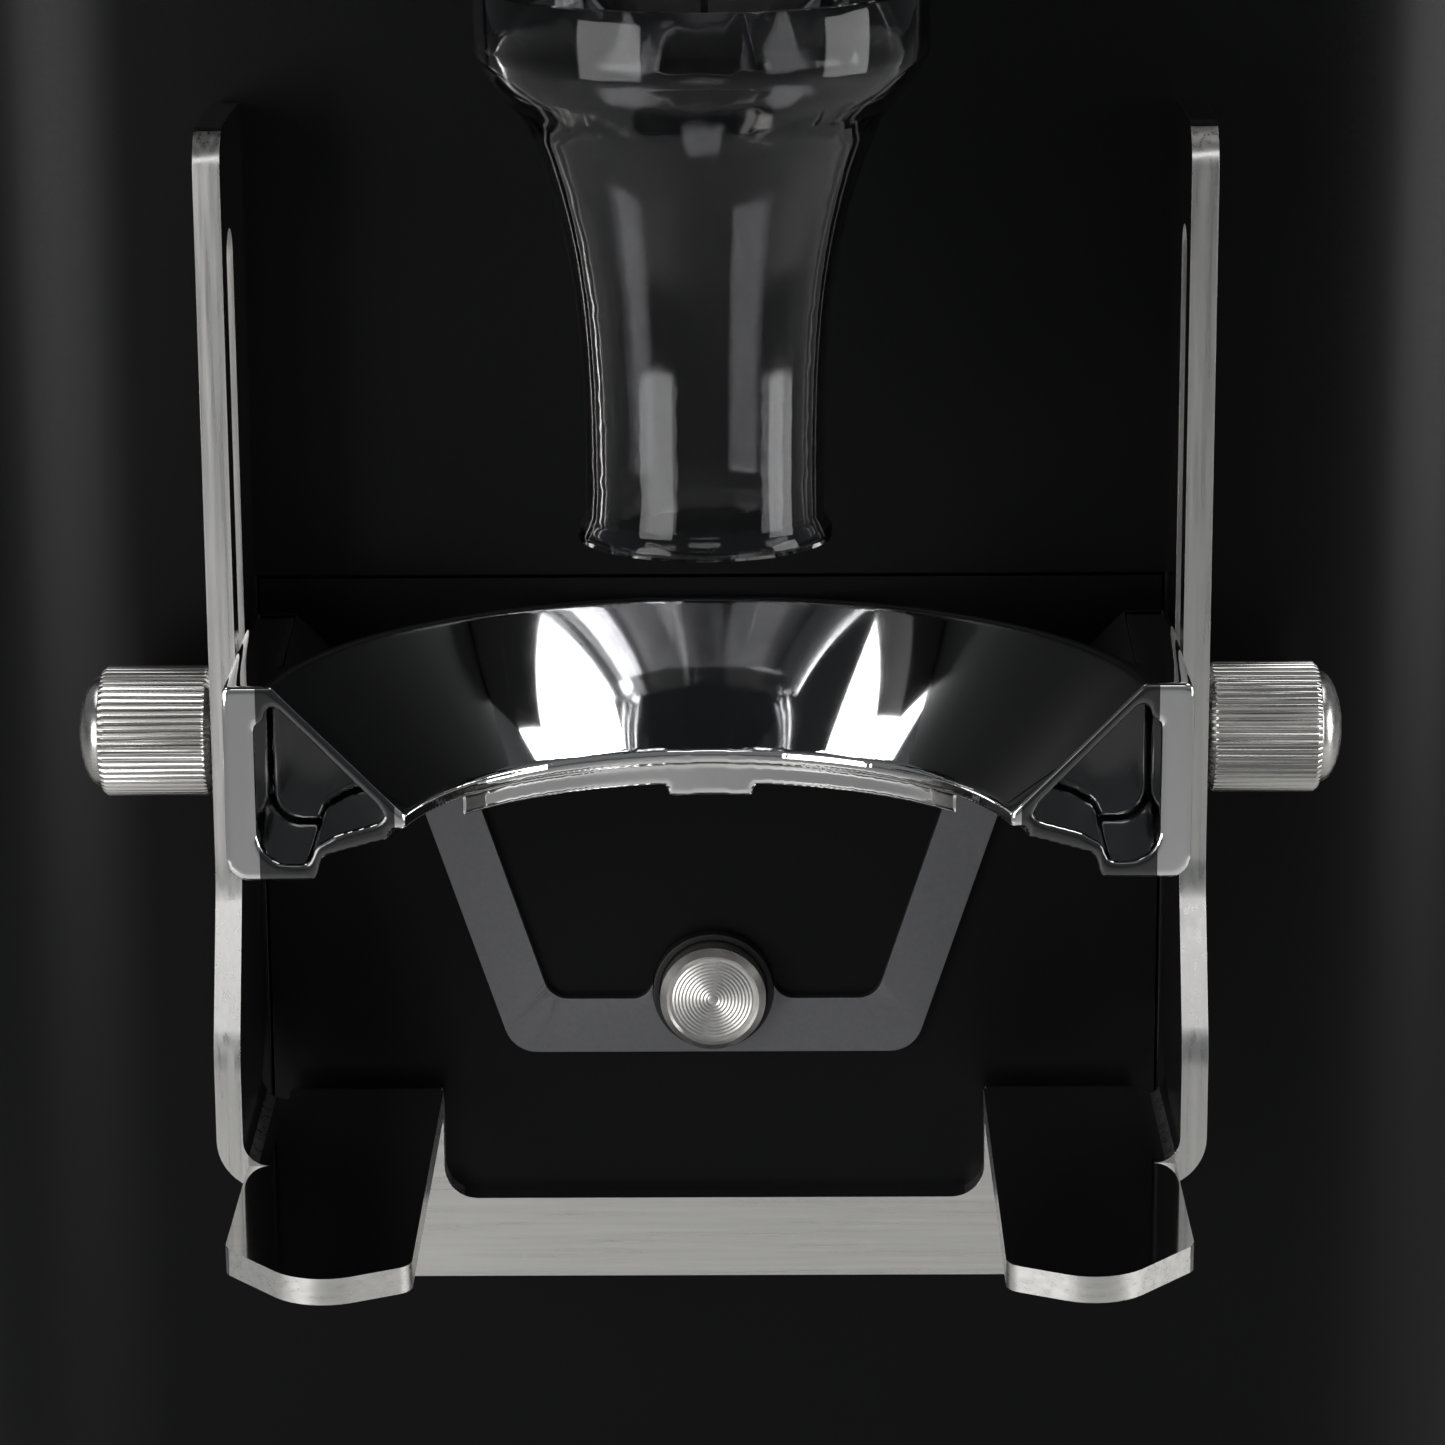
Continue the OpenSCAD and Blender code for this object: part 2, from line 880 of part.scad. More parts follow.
module outlet_nozzle() {
    color([0.8, 0.8, 0.82])
        difference() {
            union() {
                pin_y(0, nozzle_z, nozzle_front, burr_y - 50, nozzle_r);
                pin_y(0, nozzle_z, burr_y - 53, burr_y - 50, nozzle_r + 5);
            }
            pin_y(0, nozzle_z, nozzle_front - eps, burr_y - 50 + eps, nozzle_bore);
            difference() {
                pin_y(0, nozzle_z, panel_y - 9, panel_y - 7, nozzle_r + 1);
                pin_y(0, nozzle_z, panel_y - 10, panel_y - 6, nozzle_r - 1);
            }
        }
}

module nozzle_seal() {
    color([0.05, 0.05, 0.05])
        difference() {
            pin_y(0, nozzle_z, panel_y - 8.95, panel_y - 7.05, nozzle_r + 0.03);
            pin_y(0, nozzle_z, panel_y - 10, panel_y - 6, nozzle_r - 1);
        }
}

// Rubber flap with radial slits that calms the grounds.
module nozzle_screen() {
    slit = 0.8;
    color([0.12, 0.12, 0.12])
        translate([0, nozzle_front + 4, nozzle_z])
            rotate([-90, 0, 0])
                difference() {
                    cylinder(h = 1.2, r = nozzle_bore);
                    for (a = [0:45:135])
                        rotate(a)
                            translate([-nozzle_bore + 3, -slit / 2, -eps])
                                cube([2 * nozzle_bore - 6, slit, 3]);
                }
}

// Radius of the spout's curved throat at height z.
function spout_radius(z) =
    neck_r + (flare_r - neck_r) * pow((z - neck_z) / (flare_z1 - neck_z), 3.2);

// One side of the spout's wall, moved inwards by an inset.
function spout_side(inset) = concat(
    [[lip_r - inset, spout_z0], [lip_r - inset, spout_z0 + 0.8]],
    [for (i = [0:14]) let (z = neck_z + (flare_z1 - neck_z) * i / 14) [spout_radius(z) - inset, z]],
    [[cup_r - 1.3 - inset, cup_z0 - 2.4], [cup_r - inset, cup_z0 + inset / 2], [cup_r - inset, cup_z1]]
);

module spout_inside() {
    translate([0, spout_y, 0])
        rotate_extrude()
            polygon(concat(
                [[0, cup_z1 + 30], [0, spout_z0 - eps], [lip_r - spout_wall, spout_z0 - eps]],
                spout_side(spout_wall),
                [[cup_r - spout_wall, cup_z1 + 30]]
            ));
}

module spout() {
    sleeve = nozzle_r + run + spout_wall;
    color([0.8, 0.85, 0.9, 0.35])
        difference() {
            union() {
                translate([0, spout_y, 0])
                    rotate_extrude()
                        polygon(concat([[0, cup_z1], [0, spout_z0]], spout_side(0)));
                pin_y(0, nozzle_z, spout_y + 19, panel_y - 4, sleeve);
            }
            spout_inside();
            pin_y(0, nozzle_z, spout_y + 18, panel_y - 3, nozzle_r + run);
        }
}

// ---- Motor ----

module motor_can() {
    color([0.3, 0.31, 0.33])
        at_burrs()
            difference() {
                disc(motor_z0 + bell_t, motor_z1 - bell_t, can_r);
                disc(motor_z0, motor_z1, can_r - can_wall);
            }
}

module motor_bolt_places() {
    at_burrs()
        for (a = [45:90:315])
            rotate(a)
                translate([bolt_ring, 0, 0])
                    children();
}

module motor_bell_lower() {
    color([0.6, 0.6, 0.62])
        difference() {
            at_burrs()
                difference() {
                    disc(motor_z0, motor_z0 + bell_t, motor_r);
                    disc(motor_z0 + 2, motor_z0 + bell_t + eps, bearing_r);
                    disc(motor_z0 - eps, motor_z0 + 3, shaft_r + 1);
                    for (a = [0:45:315])
                        rotate(a + 22.5)
                            translate([33, 0, motor_z0 - eps])
                                cylinder(h = bell_t + 1, r = 6);
                }
            motor_bolt_places()
                disc(motor_z0 - eps, motor_z0 + bell_t + eps, 2.6);
        }
}

module motor_bell_upper() {
    z0 = motor_z1 - bell_t;
    color([0.6, 0.6, 0.62])
        difference() {
            at_burrs()
                difference() {
                    disc(z0, motor_z1, motor_r);
                    disc(z0 - eps, motor_z1 - 2, bearing_r);
                    disc(motor_z1 - 3, motor_z1 + eps, shaft_r + 1);
                }
            motor_bolt_places()
                disc(z0 - eps, motor_z1 + eps, 2.6);
        }
}

module motor_bolts() {
    color("silver")
        motor_bolt_places() {
            disc(motor_z0 - 4, motor_z0, 4.5);
            disc(motor_z0 - eps, motor_z1 + 12, 2.5);
            translate([0, 0, motor_z1 + 8])
                cylinder(h = 3.5, r = 4.5, $fn = 6);
        }
}

module stator() {
    color([0.45, 0.46, 0.48])
        at_burrs()
            difference() {
                disc(core_z0, core_z1, stator_r);
                disc(core_z0 - eps, core_z1 + eps, rotor_r + 0.7);
                for (a = [0:30:330])
                    rotate(a)
                        box_at(rotor_r, rotor_r + 7, -2.2, 2.2, core_z0 - eps, core_z1 + eps);
            }
}

module windings() {
    color([0.72, 0.4, 0.2])
        at_burrs()
            for (z = [core_z0 - 20, core_z1 + 0.2])
                rotate_extrude()
                    polygon(rounded([
                        [winding_r0, z], [winding_r1, z],
                        [winding_r1, z + 19.8], [winding_r0, z + 19.8]
                    ], [4, 4, 4, 4]));
}

module rotor() {
    color([0.5, 0.5, 0.52])
        at_burrs()
            difference() {
                disc(core_z0 - 2, core_z1 + 2, rotor_r);
                disc(core_z0 - 3, core_z1 + 3, shaft_r);
            }
}

module motor_shaft() {
    color([0.7, 0.7, 0.72])
        at_burrs() {
            disc(motor_z0 - 2, motor_z1 - 2, shaft_r);
            disc(motor_z1 - 3, lower_burr_z + 5.5, spindle_r);
        }
}

module bearing(z0) {
    color("silver")
        at_burrs()
            difference() {
                disc(z0, z0 + 9.9, bearing_r);
                disc(z0 - eps, z0 + 11, shaft_r + run);
            }
}

module bearing_lower() {
    bearing(motor_z0 + 2);
}

module bearing_upper() {
    bearing(motor_z1 - bell_t + 0.1);
}

module fan() {
    z0 = motor_z0 + bell_t + 1.5;
    color([0.15, 0.15, 0.16])
        at_burrs()
            difference() {
                union() {
                    disc(z0, z0 + 8, 14);
                    disc(z0 + 7, z0 + 8, 38);
                    for (a = [0:40:320])
                        rotate(a)
                            box_at(12, 37, -0.7, 0.7, z0, z0 + 7.5);
                }
                disc(z0 - eps, z0 + 9, shaft_r);
            }
}

// ---- Burrs ----

module burr_chamber() {
    color([0.62, 0.63, 0.65])
        difference() {
            union() {
                at_burrs()
                    rotate_extrude()
                        polygon([
                            [22, chamber_z0], [50, chamber_z0], [50, chamber_z0 + 6],
                            [32, chamber_z0 + 6], [32, floor_z0 - 2], [chamber_r + chamber_wall, floor_z0 - 2],
                            [chamber_r + chamber_wall, chamber_z1], [chamber_r, chamber_z1],
                            [chamber_r, floor_z1], [10, floor_z1], [10, floor_z0], [22, floor_z0]
                        ]);
                difference() {
                    pin_y(0, nozzle_z, burr_y - 50, burr_y - 36, nozzle_r + 3);
                    at_burrs()
                        disc(floor_z1 - 2, chamber_z1, chamber_r + 1);
                }
            }
            pin_y(0, nozzle_z, burr_y - 51, burr_y - 30, outlet_bore);
        }
}

module shaft_seal() {
    color([0.3, 0.28, 0.26])
        at_burrs()
            difference() {
                disc(floor_z0, floor_z1, 10);
                disc(floor_z0 - eps, floor_z1 + eps, spindle_r + run);
            }
}

module lower_burr_carrier() {
    color([0.7, 0.66, 0.5])
        at_burrs()
            difference() {
                union() {
                    disc(carrier_z0, lower_burr_z, burr_r + 0.5);
                    for (a = [0:120:240])
                        rotate(a)
                            box_at(10, chamber_r - 1.5, -3, 3, carrier_z0, carrier_z0 + 6);
                }
                disc(carrier_z0 - eps, lower_burr_z + eps, spindle_r);
                burr_screw_places()
                    disc(carrier_z0 + 1, lower_burr_z + eps, 1.6);
            }
}

module burr_screw_places() {
    for (a = [60:120:300])
        rotate(a)
            translate([27, 0, 0])
                children();
}

module carrier_nut() {
    color("silver")
        at_burrs()
            difference() {
                translate([0, 0, lower_burr_z])
                    cylinder(h = 4.5, r = 11.5, $fn = 6);
                disc(lower_burr_z - eps, lower_burr_z + 5, spindle_r);
            }
}

// A flat burr: a ring, dished towards its bore, with slanting grinding grooves.
module burr_ring() {
    difference() {
        rotate_extrude()
            polygon([[18, 0], [burr_r, 0], [burr_r, burr_t - 0.3], [26, burr_t], [18, burr_t - 4]]);
        for (a = [0:22.5:337.5])
            rotate(a)
                translate([17, 3, burr_t - 1.1])
                    rotate(22)
                        cube([20, 1.4, 3]);
        burr_screw_places() {
            disc(-eps, burr_t + eps, 1.7);
            disc(burr_t - 3.4, burr_t + eps, 3.2);
        }
    }
}

module lower_burr() {
    color([0.55, 0.55, 0.57])
        at_burrs()
            translate([0, 0, lower_burr_z])
                burr_ring();
}

module lower_burr_screws() {
    color("silver")
        at_burrs()
            burr_screw_places() {
                disc(carrier_z0 + 1.5, lower_burr_z + burr_t - 3.4, 1.6);
                disc(lower_burr_z + burr_t - 3.4, lower_burr_z + burr_t - 1.4, 3);
            }
}

module upper_burr() {
    color([0.55, 0.55, 0.57])
        at_burrs()
            translate([0, 0, upper_carrier_z])
                mirror([0, 0, 1])
                    burr_ring();
}

module upper_burr_carrier() {
    color([0.7, 0.66, 0.5])
        at_burrs() {
            rotate_extrude()
                polygon([
                    [18, upper_carrier_z], [chamber_r - 0.08, upper_carrier_z],
                    [chamber_r - 0.08, carrier_top], [22, carrier_top]
                ]);
            burr_screw_places()
                disc(upper_carrier_z - 5.5, upper_carrier_z + 1, 1.6);
        }
}

// ---- Adjustment ring and hopper ----

module adjustment_ring() {
    color([0.75, 0.75, 0.77])
        at_burrs() {
            // Drive tube that turns the upper carrier and feeds it with beans
            rotate_extrude()
                polygon([
                    [23, carrier_top + 1.5], [34, carrier_top + 1.5], [37, carrier_top + 6],
                    [37, ring_z0 - 4], [42, ring_z0 - 4], [42, ring_z0], [ring_r - 2, ring_z0],
                    [ring_r - 2, ring_z0 + 2], [ring_bore, ring_z0 + 2], [ring_bore, ring_z0 - 8],
                    [23, ring_z0 - 24]
                ]);
            // Ribbed grip
            difference() {
                translate([0, 0, ring_z0 + 1])
                    linear_extrude(ring_z1 - ring_z0 - 3)
                        polygon(ribbed(ring_r, 0.9, 72));
                disc(ring_z0, ring_z1, ring_bore);
            }
            difference() {
                disc(ring_z1 - 3, ring_z1, ring_r - 1.6);
                disc(ring_z1 - 4, ring_z1 + eps, ring_bore);
            }
        }
}

module hopper_collar() {
    color([0.06, 0.06, 0.065])
        at_burrs()
            rotate_extrude()
                polygon([
                    [hopper_neck_r + 0.15, ring_z0 + 2], [ring_bore, ring_z0 + 2], [ring_bore, ring_z1],
                    [46, ring_z1], [46, ring_z1 + 3], [37, collar_z1], [hopper_neck_r + 0.15, collar_z1]
                ]);
}

// Curved flare between the gate body and the wall of the hopper, moved inwards by an inset.
function hopper_side(inset) = concat(
    [for (i = [0:10])
        let (t = i / 10)
        [gate_body_r - inset + (hopper_r - 8 - gate_body_r) * sin(90 * t),
            462 + inset * (1 - t) + 52 * (1 - cos(90 * t))]],
    [[hopper_r - inset, hopper_z]]
);

module hopper() {
    color([0.5, 0.5, 0.52, 0.4])
        at_burrs()
            difference() {
                rotate_extrude()
                    polygon(concat(
                        [[0, hopper_z], [0, ring_z0 + 6], [hopper_neck_r, ring_z0 + 6],
                            [hopper_neck_r, collar_z1 + 0.5], [gate_body_r, collar_z1 + 4]],
                        hopper_side(0)
                    ));
                disc(ring_z0, 464, neck_bore);
                rotate_extrude()
                    polygon(concat([[0, hopper_z + eps], [0, 463], [neck_bore, 463]],
                        hopper_side(hopper_wall), [[hopper_r - hopper_wall, hopper_z + eps]]));
                box_at(-gate_x - 0.15, gate_x + 0.15, -gate_body_r - 1, neck_bore + 2,
                    gate_z - 0.1, gate_z + gate_t + 0.1);
            }
}

module hopper_gate() {
    color([0.75, 0.75, 0.76])
        at_burrs()
            translate([0, -neck_bore - 1, 0]) {
                translate([0, 0, gate_z])
                    linear_extrude(gate_t)
                        polygon(rounded([
                            [-gate_x, -gate_length], [gate_x, -gate_length], [gate_x, 0], [-gate_x, 0]
                        ], [5, 5, 2, 2]));
                box_at(-14, 14, -gate_length - 2, -gate_length, gate_z - 8, gate_z + gate_t);
            }
}

module hopper_lid() {
    // Clear of the hopper's wall, which slopes inwards below the rim
    plug_r = hopper_r - hopper_wall - 1.3;
    top = hopper_z + lid_t;
    color([0.05, 0.05, 0.055])
        at_burrs()
            difference() {
                rotate_extrude()
                    polygon([
                        [0, hopper_z], [plug_r - 3, hopper_z], [plug_r - 3, hopper_z - 6],
                        [plug_r, hopper_z - 6], [plug_r, hopper_z], [hopper_r + 1.5, hopper_z],
                        [hopper_r + 1.5, top - 4], [hopper_r - 2.5, top], [0, top]
                    ]);
                // Finger dish in the lid's centre, with a bar across it
                difference() {
                    disc(hopper_z + 4, top + eps, 28);
                    box_at(-30, 30, -5, 5, hopper_z, top - 1);
                }
            }
}

// ---- Electrics ----

module control_board() {
    y0 = back_y - 22;
    color([0.05, 0.3, 0.15])
        box_at(-50, 50, y0, y0 + 1.6, 200, 246);
    color([0.12, 0.12, 0.13]) {
        box_at(-40, -18, y0 - 15, y0, 206, 236);
        box_at(-8, 8, y0 - 12, y0, 208, 226);
        for (x = [20, 34])
            pin_y(x, 220, y0 - 14, y0, 5);
        for (x = [-46, 46], z = [204, 242])
            pin_y(x, z, y0 + 1.6, back_y - skin, 2);
    }
}

module run_capacitor() {
    color([0.75, 0.75, 0.77])
        translate([32, burr_y + 79, 0])
            difference() {
                disc(foot_h + plate_t, 110, 19);
                for (x = [-6, 6])
                    translate([x - 2, -0.5, 104])
                        cube([4, 1, 8]);
            }
}

module power_switch_body() {
    x = switch_at.x;
    z = switch_at.y;
    color([0.05, 0.05, 0.055])
        difference() {
            union() {
                box_at(x - 10, x + 10, back_y - 22, back_y, z - 13, z + 13);
                box_at(x - 12, x + 12, back_y, back_y + 1.4, z - 15, z + 15);
            }
            pin_x(switch_pivot_y, z, x - rocker_x - gap, x + rocker_x + gap, rocker_r + 0.2);
            box_at(x - rocker_x - gap, x + rocker_x + gap, back_y - 6, back_y + 3, z - 9.6, z + 9.6);
        }
}

module power_rocker() {
    x = switch_at.x;
    z = switch_at.y;
    color([0.1, 0.1, 0.1])
        translate([0, switch_pivot_y, z])
            rotate([rocker_tilt, 0, 0])
                difference() {
                    pin_x(0, 0, x - rocker_x, x + rocker_x, rocker_r);
                    for (s = [-1, 1])
                        rotate([-s * rocker_tilt, 0, 0])
                            box_at(x - 20, x + 20, 6, 30, s > 0 ? 0 : -30, s > 0 ? 30 : 0);
                }
}

module inlet_socket() {
    x = inlet_at.x;
    z = inlet_at.y;
    color([0.05, 0.05, 0.055])
        difference() {
            union() {
                box_at(x - 13.5, x + 13.5, back_y - 22, back_y, z - 10, z + 10);
                box_at(x - 24, x + 24, back_y, back_y + 1.8, z - 12, z + 12);
            }
            box_at(x - 12, x + 12, back_y - 16, back_y + 3, z - 8, z + 8);
        }
    color([0.8, 0.7, 0.4])
        for (i = [-1:1])
            box_at(x + 7 * i - 1, x + 7 * i + 1, back_y - 17, back_y - 4,
                z - 2 + 2 * (1 - abs(i)), z + 2 + 2 * (1 - abs(i)));
}

housing();
front_insert_plate();
base_plate();
plinth();
frame_posts();
support_deck();
rear_cover();
rear_cover_screws();
top_deck();
feet();
foot_screws();
grounds_tray();
head_cover();
display_bezel();
display_lens();
display_board();
bracket();
bracket_nuts();
guide_inlay();
fork();
knob_left();
knob_right();
spout();
outlet_nozzle();
nozzle_seal();
nozzle_screen();
start_button();
button_sleeve();
button_nut();
button_spring();
micro_switch();
motor_can();
motor_bell_lower();
motor_bell_upper();
motor_bolts();
stator();
windings();
rotor();
motor_shaft();
bearing_lower();
bearing_upper();
fan();
burr_chamber();
shaft_seal();
lower_burr_carrier();
carrier_nut();
lower_burr();
lower_burr_screws();
upper_burr();
upper_burr_carrier();
adjustment_ring();
hopper_collar();
hopper();
hopper_gate();
hopper_lid();
control_board();
run_capacitor();
power_switch_body();
power_rocker();
inlet_socket();
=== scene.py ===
"""Looks of a free-standing burr coffee grinder with a height-adjustable dosing fork."""

import json
import math

import bpy
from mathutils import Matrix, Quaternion, Vector


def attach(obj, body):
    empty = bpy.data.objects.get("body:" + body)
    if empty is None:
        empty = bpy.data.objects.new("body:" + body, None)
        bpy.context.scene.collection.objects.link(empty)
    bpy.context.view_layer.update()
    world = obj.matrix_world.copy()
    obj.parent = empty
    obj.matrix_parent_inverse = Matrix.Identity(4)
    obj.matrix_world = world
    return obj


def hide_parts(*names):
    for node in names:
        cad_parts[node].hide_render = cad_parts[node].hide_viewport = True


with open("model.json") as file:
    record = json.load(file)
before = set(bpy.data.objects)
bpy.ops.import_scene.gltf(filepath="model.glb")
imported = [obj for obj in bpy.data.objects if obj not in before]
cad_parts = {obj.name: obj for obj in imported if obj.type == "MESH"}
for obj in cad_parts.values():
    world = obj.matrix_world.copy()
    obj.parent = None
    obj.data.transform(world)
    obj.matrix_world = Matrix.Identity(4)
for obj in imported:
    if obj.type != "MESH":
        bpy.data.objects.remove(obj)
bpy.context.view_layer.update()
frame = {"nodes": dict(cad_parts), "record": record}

MM = 0.001

# ---- Geometry repeated from the design, in metres ----

KNOB_Y = -57.5 * MM
KNOB_Z = 219.6 * MM
KNOB_INNER = 56.8 * MM
KNOB_SHOULDER = 69.8 * MM
KNOB_TIP = 72.4 * MM
KNOB_R = 7.5 * MM
KNOB_RIBS = 56
STUD_R = 3.0 * MM
STUD_INNER = 42.0 * MM

BUTTON_R = 6.3 * MM
BUTTON_Z = 183.15 * MM
BUTTON_FACE = -46.7 * MM
BUTTON_BACK = -41.0 * MM
BUTTON_STEM_BACK = -24.0 * MM
BUTTON_STEM_R = 2.0 * MM

FUNNEL_Y = -91.5 * MM
FUNNEL_RIM_Z = 231.5 * MM
FUNNEL_RIM_R = 48.5 * MM
FUNNEL_THROAT_Z = 216.8 * MM
FUNNEL_THROAT_R = 34.3 * MM
FORK_FRONT_Y = -84.9 * MM
POCKET_X = 34.5 * MM
POCKET_OUTER_X = 49.5 * MM
PLATE_X = 50.0 * MM
CAST_VOXEL = 0.32 * MM
CAST_SNAP = 0.16 * MM
CAST_MARGIN = 0.5 * MM
CAST_FACING = 0.95
WELD_GAP = 0.002 * MM

SKIPPED_BEVELS = {
    "spout", "hopper", "button_spring", "rotor", "stator", "fan", "windings",
    "lower_burr", "upper_burr", "hopper_lid", "nozzle_screen",
}
BEVEL_WIDTH = {
    "fork": 0.55 * MM, "bracket": 0.4 * MM, "guide_inlay": 0.15 * MM, "feet": 1.0 * MM,
    "grounds_tray": 0.7 * MM, "plinth": 1.0 * MM, "head_cover": 1.0 * MM,
    "top_deck": 0.8 * MM, "housing": 0.4 * MM, "rear_cover": 0.5 * MM,
    "outlet_nozzle": 0.6 * MM, "adjustment_ring": 0.25 * MM,
}
DEFAULT_BEVEL = 0.2 * MM
BEVEL_ANGLE = math.radians(32)
LATHE_SHARP = math.radians(28)


# ---- Materials ----

NOISE_DETAIL = 3.0
NOISE_LOW = 0.3
NOISE_HIGH = 0.7
FACES_UP = 0.9
LEANS_UP = 0.5
FACES_SIDE = 0.8
POCKET_LIP = 0.6 * MM
PLATE_INNER_X = 53.3 * MM


def node(tree, kind, **values):
    made = tree.nodes.new(kind)
    for key, value in values.items():
        if hasattr(made, key):
            setattr(made, key, value)
        else:
            made.inputs[key].default_value = value
    return made


def stretched_noise(tree, scale, stretch):
    """Noise in object coordinates, drawn out along the axes with a small stretch."""
    coords = node(tree, "ShaderNodeTexCoord")
    mapping = node(tree, "ShaderNodeMapping")
    mapping.inputs["Scale"].default_value = stretch
    noise = node(tree, "ShaderNodeTexNoise")
    noise.inputs["Scale"].default_value = scale
    noise.inputs["Detail"].default_value = NOISE_DETAIL
    tree.links.new(coords.outputs["Object"], mapping.inputs["Vector"])
    tree.links.new(mapping.outputs["Vector"], noise.inputs["Vector"])
    return noise.outputs["Fac"]


def where_beyond(tree, output, axis, limit, magnitude=True):
    """1 where that axis of the vector is beyond the limit, else 0."""
    split = node(tree, "ShaderNodeSeparateXYZ")
    tree.links.new(output, split.inputs["Vector"])
    value = split.outputs[axis]
    if magnitude:
        size = node(tree, "ShaderNodeMath", operation="ABSOLUTE")
        tree.links.new(value, size.inputs[0])
        value = size.outputs[0]
    beyond = node(tree, "ShaderNodeMath", operation="GREATER_THAN")
    beyond.inputs[1].default_value = limit
    tree.links.new(value, beyond.inputs[0])
    return beyond.outputs[0]


def choose(tree, where, yes, no):
    """yes where the mask is 1, no where it is 0. Each is an output or a number."""
    mix = node(tree, "ShaderNodeMix", data_type="FLOAT")
    tree.links.new(where, mix.inputs[0])
    for value, socket in ((no, mix.inputs[2]), (yes, mix.inputs[3])):
        if isinstance(value, (int, float)):
            socket.default_value = value
        else:
            tree.links.new(value, socket)
    return mix.outputs[0]


def both(tree, first, second):
    """1 where both masks are 1."""
    product = node(tree, "ShaderNodeMath", operation="MULTIPLY")
    tree.links.new(first, product.inputs[0])
    tree.links.new(second, product.inputs[1])
    return product.outputs[0]


def darken(material, where, factor, roughness):
    """Paints shade: darkens the base colour by that factor, at that roughness, where the mask is
    1.
    """
    tree = material.node_tree
    shader = tree.nodes["Principled BSDF"]
    mix = node(tree, "ShaderNodeMix", data_type="RGBA", blend_type="MULTIPLY")
    tree.links.new(where, mix.inputs[0])
    tree.links.new(shader.inputs["Base Color"].links[0].from_socket, mix.inputs[6])
    mix.inputs[7].default_value = (factor, factor, factor, 1)
    tree.links.new(mix.outputs[2], shader.inputs["Base Color"])
    old = shader.inputs["Roughness"].links[0].from_socket
    tree.links.new(choose(tree, where, roughness, old), shader.inputs["Roughness"])


def pocket_shade_mask(tree):
    """1 on the walls of the casting pockets in the fork's two arms, where shade is painted into
    the chrome.
    """
    place = node(tree, "ShaderNodeTexCoord").outputs["Object"]
    normal = node(tree, "ShaderNodeNewGeometry").outputs["Normal"]
    outside = where_beyond(tree, place, "X", POCKET_OUTER_X)
    upward = where_beyond(tree, normal, "Z", LEANS_UP, magnitude=False)
    mask = both(tree, where_beyond(tree, place, "X", POCKET_X),
                where_beyond(tree, place, "Y", FORK_FRONT_Y + POCKET_LIP, magnitude=False))
    mask = both(tree, mask, choose(tree, outside, 0.0, 1.0))
    return both(tree, mask, choose(tree, upward, 0.0, 1.0))


def plate_side_shade_mask(tree):
    """1 on the faces of the bracket's side plates that look left or right, where shade is painted
    into the steel.
    """
    place = node(tree, "ShaderNodeTexCoord").outputs["Object"]
    normal = node(tree, "ShaderNodeNewGeometry").outputs["Normal"]
    return both(tree, where_beyond(tree, place, "X", PLATE_X),
                where_beyond(tree, normal, "X", FACES_SIDE))


def finish(name, color, metallic=0.0, roughness=0.4, spread=0.06, scale=400.0,
           stretch=(1, 1, 1), bump=0.05, depth=0.02 * MM, shade=0.15, ior_level=0.5,
           transmission=0.0, ior=1.49, side_grain=None, side_x=0.0, top_roughness=None):
    """A surface whose shade, roughness and relief all follow one fine noise."""
    material = bpy.data.materials.new(name)
    material.use_nodes = True
    tree = material.node_tree
    shader = tree.nodes["Principled BSDF"]
    shader.inputs["Metallic"].default_value = metallic
    shader.inputs["Specular IOR Level"].default_value = ior_level
    shader.inputs["IOR"].default_value = ior
    shader.inputs["Transmission Weight"].default_value = transmission
    grain = stretched_noise(tree, scale, stretch)
    if side_grain:
        place = node(tree, "ShaderNodeTexCoord").outputs["Object"]
        at_side = where_beyond(tree, place, "X", side_x)
        grain = choose(tree, at_side, stretched_noise(tree, scale, side_grain), grain)
    ramp = node(tree, "ShaderNodeValToRGB")
    dark, light = ramp.color_ramp.elements
    dark.position, light.position = NOISE_LOW, NOISE_HIGH
    dark.color = [c * (1 - shade) for c in color] + [1]
    light.color = [min(1, c * (1 + shade)) for c in color] + [1]
    tree.links.new(grain, ramp.inputs["Fac"])
    tree.links.new(ramp.outputs["Color"], shader.inputs["Base Color"])
    rough = node(tree, "ShaderNodeMapRange")
    rough.inputs["From Min"].default_value = NOISE_LOW
    rough.inputs["From Max"].default_value = NOISE_HIGH
    rough.inputs["To Min"].default_value = max(0.0, roughness - spread)
    rough.inputs["To Max"].default_value = roughness + spread
    tree.links.new(grain, rough.inputs["Value"])
    roughness_out = rough.outputs["Result"]
    if top_roughness is not None:
        normal = node(tree, "ShaderNodeNewGeometry").outputs["Normal"]
        on_top = where_beyond(tree, normal, "Z", FACES_UP, magnitude=False)
        roughness_out = choose(tree, on_top, top_roughness, roughness_out)
    tree.links.new(roughness_out, shader.inputs["Roughness"])
    relief = node(tree, "ShaderNodeBump")
    relief.inputs["Strength"].default_value = bump
    relief.inputs["Distance"].default_value = depth
    tree.links.new(grain, relief.inputs["Height"])
    tree.links.new(relief.outputs["Normal"], shader.inputs["Normal"])
    return material


ALONG_X = (0.03, 1, 1)
ALONG_Z = (1, 1, 0.03)

